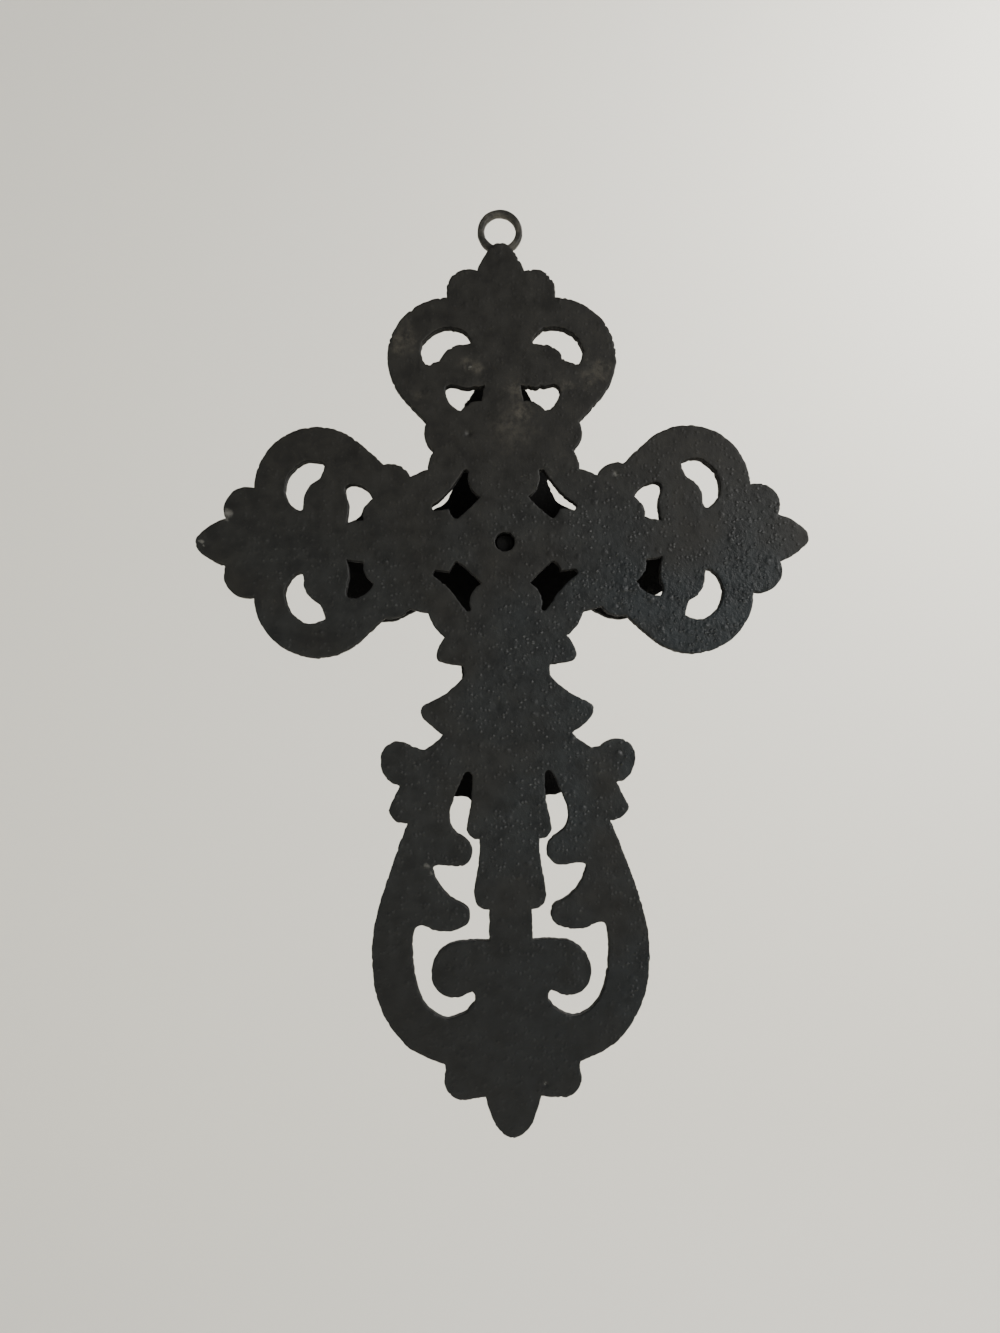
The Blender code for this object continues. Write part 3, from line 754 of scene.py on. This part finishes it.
def closed(points, back_tris, face_tris, wall_tris):
    """One shell of a back sheet that looks to +Y, a face sheet that looks to -Y, and walls that fit the back.

    Two neighbours of a shell run along their common side in opposite ways, so the walls are turned over if
    their first side runs as one of the back's does.
    """
    if facing(points, back_tris)[:, 1].sum() < 0:
        back_tris = back_tris[:, ::-1]
    if facing(points, face_tris)[:, 1].sum() > 0:
        face_tris = face_tris[:, ::-1]
    sides = np.concatenate([back_tris[:, pair] for pair in ((0, 1), (1, 2), (2, 0))])
    if (sides == wall_tris[0, :2]).all(axis=1).any():
        wall_tris = wall_tris[:, ::-1]
    return np.concatenate((back_tris, face_tris, wall_tris))


def facing(points, triangles):
    """Way in which each triangle looks: (b - a) x (c - a)."""
    a, b, c = (points[triangles[:, corner]] for corner in range(3))
    return np.cross(b - a, c - a)


def outward(points, triangles):
    """Triangles of a closed shell, turned over if its volume, the sum of a . (b x c) / 6, is negative."""
    a, b, c = (points[triangles[:, corner]] for corner in range(3))
    return triangles if (a * np.cross(b, c)).sum() > 0 else triangles[:, ::-1]


def cast_shell(rims, holes, planes, seeds, pits, raised):
    """Points, triangles and depths from the rims of a cross, and how many of the points are its back's.

    The flat back and the carved face fill the same rims, and walls join them. The holes are in the back only,
    where another shape grows out of it, and no walls start there. The function raised gives the face's height
    over its plane, from its points and their depths from the rims.
    """
    starts, ends = rim_sides(rims)
    marks = [mark_points(x * MM, z * MM, radius * MM) for x, z, radius, sink in pits]
    back, back_tris = filled(rims + holes, BACK_SPACING, BACK_ROWS, marks)
    face, face_tris = filled(rims, FACE_SPACING, FACE_ROWS)
    back_depth = distance_to(back, starts, ends)
    face_depth = distance_to(face, starts, ends)
    back_y = flat_back(back, back_depth, planes[0], seeds["back"])
    for x, z, radius, sink in pits:
        gap = np.hypot(back[:, 0] - x * MM, back[:, 1] - z * MM)
        back_y -= sink * MM * hump(gap, 0.0, radius * MM)
    face_y = planes[1] - raised(face, face_depth)
    rim_count = len(starts)
    walls = wall_rows(rims, back_y[:rim_count], face_y[:rim_count], WALL_ROWS, seeds["walls"])
    wall_tris = wall_between(rims, 0, len(back), WALL_ROWS, len(back) + len(face))
    points = np.concatenate((sheet(back, back_y), sheet(face, face_y), walls))
    triangles = closed(points, back_tris, face_tris + len(back), wall_tris)
    depth = np.concatenate((back_depth, face_depth, np.zeros(len(walls))))
    return points, triangles, depth, len(back)


def plate_height(points, depth):
    """Height of the plate's carving: scrolls, twisted ribs along the middle lines, and domes on the limb."""
    ribs = [(path, False) for path in four_ways((ARM_SCROLL,), (LIMB_BAND,), CROSSING_Z)]
    ribs += [(path, True) for path in four_ways((ARM_MIDRIB,), (LIMB_MIDRIB,), CROSSING_Z)]
    height = carved(points, depth, ribs, PLATE_ROUNDING, PLATE_SEEDS["face"])
    for down, x, radius in LIMB_DOMES:
        for side in (x, -x):
            height = np.maximum(height, dome(points, (side * MM, CROSSING_Z - down * MM), radius * MM))
    return height


def front_height(points, depth):
    """Height of the front cross's carving: scrolls, twisted ribs along the middle lines, and the rosette."""
    ribs = [(path, False) for path in four_ways((FRONT_SCROLL,), (FRONT_FOOT,), FRONT_CENTRE_Z)]
    ribs += [(path, True) for path in four_ways((FRONT_MIDRIB,), (FRONT_LIMB_MIDRIB,), FRONT_CENTRE_Z)]
    height = carved(points, depth, ribs, FRONT_ROUNDING, FRONT_SEEDS["face"])
    return np.maximum(height, rosette(points, (0.0, FRONT_CENTRE_Z)))


def make_back_cross():
    """The plate: flat back and carved face over one outline, walls between, and the ring on its upper tip."""
    rims = [cast_rim(loop, PLATE_SEEDS["rims"]) for loop in plane_loops("back_cross", PLATE_BACK)]
    planes = (PLATE_BACK, PLATE_FACE)
    points, triangles, depth = cast_shell(rims, [], planes, PLATE_SEEDS, PITS, plate_height)[:3]
    ring, ring_tris = ring_shell()
    triangles = np.concatenate((outward(points, triangles), outward(ring, ring_tris) + len(points)))
    depth = np.concatenate((depth, np.full(len(ring), RING_MARK)))
    points = np.concatenate((points, ring))
    return as_piece("back_cross_iron", points, triangles, depth, np.zeros(len(points)))


def boss_rows():
    """Turned rows of points from the flare's root over the boss and its seat down to the peg's end.

    Profile: radius and y. The flare is a quarter-round hollow between the boss and the cross's back, and a
    corner's middle point lies CORNER_IN of its softness in from both sides.
    """
    t = np.linspace(0.0, 1.0, FLARE_ROWS + 1)[1:]
    flare = FLARE_RADIUS - (FLARE_RADIUS - BOSS_RADIUS) * np.sin(t * np.pi / 2)
    flare_y = FRONT_BACK + (BOSS_TOP - FRONT_BACK) * (1 - np.cos(t * np.pi / 2))
    soft, nearly = BOSS_SOFT, BOSS_SOFT * CORNER_IN
    profile = list(zip(flare, flare_y))
    profile += [(BOSS_RADIUS, y) for y in np.linspace(BOSS_TOP, SEAT - soft, BOSS_ROWS + 1)[1:]]
    profile += [(BOSS_RADIUS - nearly, SEAT - nearly), (BOSS_RADIUS - soft, SEAT)]
    profile += [(PEG_RADIUS + soft, SEAT), (PEG_RADIUS, SEAT + soft), (PEG_RADIUS, PEG_END - soft)]
    profile += [(PEG_RADIUS - nearly, PEG_END - nearly), (PEG_RADIUS - soft, PEG_END)]
    radius, y = np.array(profile).T
    a = np.linspace(0.0, 2 * np.pi, BOSS_STEPS, endpoint=False)
    around = 10 * MM * np.column_stack((np.cos(a), np.sin(a)))
    r = radius[:, None] + BOSS_WANDER * waves(*around.T, (BOSS_WAVES,), BOSS_SEED)[None, :]
    x = r * np.sin(a)
    z = PEG_Z + r * np.cos(a)
    depth = np.broadcast_to(y[:, None], x.shape)
    return np.column_stack((x.ravel(), depth.ravel(), z.ravel())), len(radius)


def boss_triangles(points, root, first, rows):
    """Triangles of the turned boss: strips between its rows, from the root's points on, and a cap on the peg.

    The boss's own points start at the number first, and the middle of the peg's end is the last point of all.
    """
    here = np.arange(BOSS_STEPS)
    starts = [root] + [first + BOSS_STEPS * row + here for row in range(rows)]
    triangles = []
    for upper, lower in zip(starts, starts[1:]):
        b, c = np.roll(upper, -1), np.roll(lower, -1)
        triangles += [np.column_stack((upper, b, c)), np.column_stack((upper, c, lower))]
    last = starts[-1]
    triangles.append(np.column_stack((last, np.roll(last, -1), np.full(BOSS_STEPS, len(points) - 1))))
    triangles = np.concatenate(triangles)
    out = points[triangles].mean(axis=1) - np.array((0.0, 0.0, PEG_Z))
    way = facing(points, triangles)
    if (way[:, 0] * out[:, 0] + way[:, 2] * out[:, 2]).sum() < 0:
        triangles = triangles[:, ::-1]
    return triangles


def make_front_cross():
    """The smaller cross: back with the boss and the peg growing out of it, carved face and walls."""
    outer = max(plane_loops("front_cross", FRONT_BACK), key=lambda loop: np.ptp(loop[:, 1]))
    rim = cast_rim(outer, FRONT_SEEDS["rims"])
    a = np.linspace(0.0, 2 * np.pi, BOSS_STEPS, endpoint=False)
    root = np.column_stack((FLARE_RADIUS * np.sin(a), PEG_Z + FLARE_RADIUS * np.cos(a)))[::-1]
    planes = (FRONT_BACK, FRONT_FACE)
    shell, shell_tris, depth, back_count = cast_shell([rim], [root], planes, FRONT_SEEDS, (), front_height)
    boss, rows = boss_rows()
    points = np.concatenate((shell, boss, [(0.0, PEG_END, PEG_Z)]))
    root_numbers = len(rim) + np.arange(BOSS_STEPS)[::-1]
    boss_tris = boss_triangles(points, root_numbers, len(shell), rows)
    triangles = outward(points, np.concatenate((shell_tris, boss_tris)))
    depth = np.concatenate((depth, np.full(len(boss) + 1, REACH)))
    # 1 where the paint puts painted shade: the back, the boss and the peg between the crosses
    shaded_between_crosses = np.ones(len(points))
    shaded_between_crosses[back_count:len(shell)] = 0.0
    return as_piece("front_cross_iron", points, triangles, depth, shaded_between_crosses)


def add(tree, kind, inputs=(), **settings):
    """New node with its settings; inputs are pairs of a socket's name or number and a value or a socket."""
    made = tree.nodes.new(kind)
    for key, value in settings.items():
        setattr(made, key, value)
    for key, value in inputs:
        if isinstance(value, bpy.types.NodeSocket):
            tree.links.new(value, made.inputs[key])
        else:
            made.inputs[key].default_value = value
    return made


def maths(tree, operation, first, second):
    """Value worked out from two values or sockets."""
    return add(tree, "ShaderNodeMath", ((0, first), (1, second)), operation=operation).outputs["Value"]


def times(tree, first, second):
    """Product of two values."""
    return maths(tree, "MULTIPLY", first, second)


def plus(tree, first, second):
    """Sum of two values."""
    return maths(tree, "ADD", first, second)


def stored(tree, name):
    """Value that as_piece has stored with each point."""
    return add(tree, "ShaderNodeAttribute", attribute_name=name).outputs["Fac"]


def noise(tree, place, scale, detail, roughness=0.55):
    """Clouds between 0 and 1: their number in a metre, their finer layers and the strength of these."""
    inputs = (("Vector", place), ("Scale", scale), ("Detail", detail), ("Roughness", roughness))
    return add(tree, "ShaderNodeTexNoise", inputs).outputs["Fac"]


def between(tree, value, low, high, to_low=0.0, to_high=1.0):
    """Value carried smoothly from the range low to high onto the range to_low to to_high."""
    limits = (("From Min", low), ("From Max", high), ("To Min", to_low), ("To Max", to_high))
    made = add(tree, "ShaderNodeMapRange", (("Value", value), *limits), interpolation_type="SMOOTHSTEP")
    return made.outputs["Result"]


def blended(tree, share, first, second, way="MIX"):
    """Colour mixed from two colours or sockets by a share."""
    made = add(tree, "ShaderNodeMix", ((0, share),), data_type="RGBA", blend_type=way)
    for socket, value in ((made.inputs[6], first), (made.inputs[7], second)):
        if isinstance(value, bpy.types.NodeSocket):
            tree.links.new(value, socket)
        else:
            socket.default_value = (*value, 1.0)
    return made.outputs[2]


def pimples(tree, place, scale, share):
    """Round grains strewn at random in a share of the cells: 1 on a grain's top and 0 around it."""
    inputs = (("Vector", place), ("Scale", scale), ("Randomness", 1.0))
    cells = add(tree, "ShaderNodeTexVoronoi", inputs, feature="F1", distance="EUCLIDEAN").outputs
    picked = add(tree, "ShaderNodeSeparateColor", (("Color", cells["Color"]),)).outputs["Red"]
    chosen = between(tree, picked, share, share - 0.06)
    return times(tree, chosen, between(tree, cells["Distance"], 0.50, 0.08))


def patch(tree, place, x, z, radius):
    """Soft round patch about a point of the back, 1 in its middle and 0 from its radius outward."""
    gap = add(tree, "ShaderNodeVectorMath", ((0, place), (1, (x * MM, 0.0, z * MM))), operation="DISTANCE")
    return between(tree, gap.outputs["Value"], radius * MM, 0.15 * radius * MM)


def stirred(tree, place, scale, reach):
    """Place moved about at random by up to about reach, so that round patches get ragged outlines."""
    inputs = (("Vector", place), ("Scale", scale), ("Detail", 3.0), ("Roughness", 0.6))
    cloud = add(tree, "ShaderNodeTexNoise", inputs).outputs["Color"]
    centred = add(tree, "ShaderNodeVectorMath", ((0, cloud), (1, (0.5, 0.5, 0.5))), operation="SUBTRACT")
    inputs = ((0, centred.outputs["Vector"]), (1, (4 * reach, 4 * reach, 4 * reach)), (2, place))
    return add(tree, "ShaderNodeVectorMath", inputs, operation="MULTIPLY_ADD").outputs["Vector"]


def patches(tree, place, table):
    """Strength of the patches of a table of x, z, radius and strength: the strongest at each point."""
    strongest = 0.0
    for x, z, radius, strength in table:
        one = times(tree, patch(tree, place, x, z, radius), strength)
        strongest = maths(tree, "MAXIMUM", one, strongest)
    return strongest


def clean_and_sheen_share(tree, place, axes):
    """How clean the paint is, 0 to 1, which also places its painted sheen: more towards -X and below the
    upper arm, in broad clouds.
    """
    rightward = between(tree, axes["X"], *CLEAN_AND_SHEEN_ACROSS)
    downward = between(tree, axes["Z"], *CLEAN_AND_SHEEN_DOWN)
    clouds = between(tree, noise(tree, place, BROAD_CLOUDS, 3.0), 0.30, 0.56)
    share = plus(tree, times(tree, rightward, CLEAN_AND_SHEEN_RIGHT), 1 - CLEAN_AND_SHEEN_RIGHT)
    return times(tree, times(tree, share, downward), clouds)


def paint_colour(tree, clean_and_sheen, above_foot, mottle):
    """Brown-black where dirty and blue-black where clean, the blue a painted sheen of the window's light,
    mottled, and darker on the foot as painted shade.
    """
    colour = blended(tree, clean_and_sheen, BROWN_BLACK, BLUE_SHEEN_BLACK)
    shade = between(tree, mottle, *MOTTLE_RANGE, *MOTTLE_SHADES)
    # Darker towards the foot: painted shade where the window's sheen falls off
    shade = times(tree, shade, plus(tree, FOOT_SHADE, times(tree, above_foot, 1 - FOOT_SHADE)))
    grey = add(tree, "ShaderNodeCombineColor", (("Red", shade), ("Green", shade), ("Blue", shade)))
    return blended(tree, 1.0, colour, grey.outputs["Color"], "MULTIPLY")


def glinting_tops(tree, place, granules, clean_and_sheen, above_foot):
    """Painted glints on the granules' tops, partly pale worn paint: many where the paint is clean above the
    foot, most of them in drifts.
    """
    drifts = between(tree, noise(tree, place, DRIFT_CLOUDS, 3.0, 0.6), 0.46, 0.62)
    crowded = plus(tree, times(tree, times(tree, clean_and_sheen, above_foot), GLINT_TOPS_CLEAN), GLINT_TOPS_ANYWHERE)
    crowded = times(tree, crowded, plus(tree, drifts, GLINT_TOPS_OFF_DRIFTS))
    return times(tree, between(tree, granules, 0.55, 1.0), crowded)


def dust_share(tree, place):
    """Dusty smudges with ragged outlines, broken up by small clouds."""
    dust = patches(tree, stirred(tree, place, *DUST_STIR), SMUDGES)
    return times(tree, dust, between(tree, noise(tree, place, DUST_CLOUDS, 4.0, 0.6), 0.34, 0.62))


def grain_bump(tree, place, granules, clean_and_sheen, above_foot):
    """Normal of the sand-cast grain: granules, larger grains and clouds of two sizes, highest where clean."""
    larger = pimples(tree, place, LARGER_GRAINS, 0.16)
    coarse = noise(tree, place, COARSE_CLOUDS, 3.0, 0.55)
    fine = noise(tree, place, FINE_CLOUDS, 2.0, 0.5)
    lumps = plus(tree, times(tree, granules, GRANULE_HEIGHT), times(tree, coarse, COARSE_HEIGHT))
    lumps = plus(tree, lumps, times(tree, larger, LARGER_HEIGHT))
    lumps = plus(tree, lumps, times(tree, fine, FINE_HEIGHT))
    strength = times(tree, clean_and_sheen, plus(tree, BUMP_CLEAN, times(tree, above_foot, BUMP_ABOVE_FOOT)))
    strength = plus(tree, BUMP_ANYWHERE, strength)
    inputs = (("Height", lumps), ("Strength", strength), ("Distance", BUMP_DISTANCE))
    return add(tree, "ShaderNodeBump", inputs).outputs["Normal"]


def black_iron():
    """Satin black paint over a sand-cast grain, bluer with a painted sheen and glossier where clean, dull
    where dusty.
    """
    material = bpy.data.materials.new("black_iron")
    material.use_nodes = True
    tree = material.node_tree
    shader = tree.nodes["Principled BSDF"]
    place = add(tree, "ShaderNodeTexCoord").outputs["Object"]
    axes = add(tree, "ShaderNodeSeparateXYZ", (("Vector", place),)).outputs
    rim = stored(tree, "rim_depth")
    # Parts between the crosses, which get painted shade
    gap_shade = stored(tree, "gap_shade")
    above_foot = between(tree, axes["Z"], *FOOT)
    # Clean share, which also places the painted sheen
    clean_and_sheen = clean_and_sheen_share(tree, place, axes)
    mottle = noise(tree, place, MOTTLE_CLOUDS, 6.0, 0.62)
    granules = pimples(tree, place, GRANULES, 0.5)
    dust = dust_share(tree, place)
    ring = between(tree, rim, *RING_BAND)
    edge = maths(tree, "SUBTRACT", between(tree, rim, *EDGE_BAND), ring)

    colour = paint_colour(tree, clean_and_sheen, above_foot, mottle)
    # Painted glints on the grain tops, partly pale worn paint
    glint_tops = glinting_tops(tree, place, granules, clean_and_sheen, above_foot)
    colour = blended(tree, times(tree, glint_tops, GLINT_TOPS_TINT), colour, GRAIN_GLINT)
    colour = blended(tree, dust, colour, DUST)
    colour = blended(tree, patches(tree, stirred(tree, place, *PALE_STIR), PALE_SPOTS), colour, PALE)
    worn = times(tree, between(tree, rim, *WORN_BAND), between(tree, mottle, *WORN_CLOUDS))
    colour = blended(tree, times(tree, worn, BARE_TINT), colour, BARE_EDGE)
    # Painted shade: the rims' edges darkened towards near black
    colour = blended(tree, times(tree, edge, EDGE_SHADE), colour, PAINTED_SHADE_BLACK)
    ring_tone = times(tree, ring, between(tree, mottle, *RING_WEAR))
    colour = blended(tree, ring_tone, colour, WORN_RING)
    # Painted shade on the back, the boss and the peg between the crosses
    colour = blended(tree, gap_shade, colour, PAINTED_SHADE_BLACK)
    tree.links.new(colour, shader.inputs["Base Color"])

    rough = between(tree, mottle, *MOTTLE_RANGE, *MOTTLE_ROUGHNESS)
    rough = maths(tree, "SUBTRACT", rough, times(tree, clean_and_sheen, CLEAN_SHINE))
    rough = plus(tree, rough, times(tree, dust, DUST_DULLNESS))
    dull = maths(tree, "MAXIMUM", edge, gap_shade)
    rough = maths(tree, "MAXIMUM", rough, times(tree, dull, EDGE_DULLNESS))
    tree.links.new(rough, shader.inputs["Roughness"])
    shader.inputs["Specular IOR Level"].default_value = SPECULAR
    shader.inputs["Metallic"].default_value = 0.0
    tree.links.new(grain_bump(tree, place, granules, clean_and_sheen, above_foot), shader.inputs["Normal"])
    return material


def plain(name, colour, roughness):
    """Material of one colour and one roughness."""
    material = bpy.data.materials.new(name)
    material.use_nodes = True
    shader = material.node_tree.nodes["Principled BSDF"]
    shader.inputs["Base Color"].default_value = (*colour, 1.0)
    shader.inputs["Roughness"].default_value = roughness
    return material


def make_room():
    """Pale floor well below the cross that sweeps up in a quarter circle into a backdrop."""
    angle = np.linspace(0.0, np.pi / 2, SWEEP_STEPS)
    y = np.concatenate(([ROOM_DEPTH], BACKDROP_Y + SWEEP_RADIUS - SWEEP_RADIUS * np.sin(angle), [BACKDROP_Y]))
    z = np.concatenate(([FLOOR_Z], FLOOR_Z + SWEEP_RADIUS - SWEEP_RADIUS * np.cos(angle), [ROOM_HALF]))
    count = len(y)
    sides = (-ROOM_HALF, ROOM_HALF)
    points = np.concatenate([np.column_stack((np.full(count, side), y, z)) for side in sides])
    here = np.arange(count - 1)
    faces = np.column_stack((here, here + 1, here + 1 + count, here + count))
    mesh = bpy.data.meshes.new("studio_sweep")
    mesh.from_pydata(points.tolist(), [], faces.tolist())
    mesh.shade_smooth()
    mesh.materials.append(plain("pale_paper", PAPER, PAPER_ROUGHNESS))
    room = bpy.data.objects.new("studio_sweep", mesh)
    bpy.context.scene.collection.objects.link(room)
    room.visible_shadow = False


def soft_light(name, place, target, size, power, colour):
    """Square area light that looks at a target and isn't itself seen."""
    data = bpy.data.lights.new(name, "AREA")
    data.size = size
    data.energy = power
    data.color = colour
    lamp = bpy.data.objects.new(name, data)
    lamp.location = place
    aim = Vector(target) - Vector(place)
    lamp.rotation_euler = aim.to_track_quat("-Z", "Y").to_euler()
    lamp.visible_camera = False
    bpy.context.scene.collection.objects.link(lamp)


def light_scene():
    """Pale air all around, a window at the camera's right, a light on the backdrop, a sun on the carving."""
    world = bpy.data.worlds.new("pale_room")
    world.use_nodes = True
    air = world.node_tree.nodes["Background"]
    air.inputs["Color"].default_value = AIR_COLOUR
    air.inputs["Strength"].default_value = AIR_STRENGTH
    bpy.context.scene.world = world
    for lamp in LAMPS:
        soft_light(*lamp)
    sun = bpy.data.lights.new("front_window", "SUN")
    sun.energy = SUN_STRENGTH
    sun.angle = SUN_WIDTH
    shining = bpy.data.objects.new("front_window", sun)
    shining.rotation_euler = Vector(SUN_WAY).to_track_quat("-Z", "Y").to_euler()
    bpy.context.scene.collection.objects.link(shining)


def photo_camera():
    """Camera behind the plate, turned by yaw, then pitch, then roll, from looking straight along -Y."""
    c, s = math.cos(CAMERA_ROLL), math.sin(CAMERA_ROLL)
    cp, sp = math.cos(CAMERA_PITCH), math.sin(CAMERA_PITCH)
    cy, sy = math.cos(CAMERA_YAW), math.sin(CAMERA_YAW)
    pitch = np.array(((1, 0, 0), (0, cp, sp), (0, -sp, cp)))
    yaw = np.array(((cy, 0, sy), (0, 1, 0), (-sy, 0, cy)))
    picture = yaw @ pitch @ np.array(((c, -s, 0), (s, c, 0), (0, 0, 1)))
    to_frame = np.array(((-1, 0, 0), (0, 0, -1), (0, 1, 0)))
    right, up, view = (to_frame @ picture).T
    data = bpy.data.cameras.new("camera")
    data.sensor_width = SENSOR
    data.lens = SENSOR / 2 / math.tan(HALF_VIEW)
    data.clip_start = CLOSEST_SEEN
    data.clip_end = FARTHEST_SEEN
    camera = bpy.data.objects.new("camera", data)
    turn = Matrix((right, up, -view)).transposed().to_4x4()
    camera.matrix_world = Matrix.Translation(CAMERA_PLACE) @ turn
    bpy.context.scene.collection.objects.link(camera)
    bpy.context.scene.camera = camera


photo_camera()
make_room()
light_scene()

iron = black_iron()
for piece, node in ((make_back_cross(), "back_cross"), (make_front_cross(), "front_cross")):
    piece.data.materials.append(iron)
    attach(piece, "root")
    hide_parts(node)
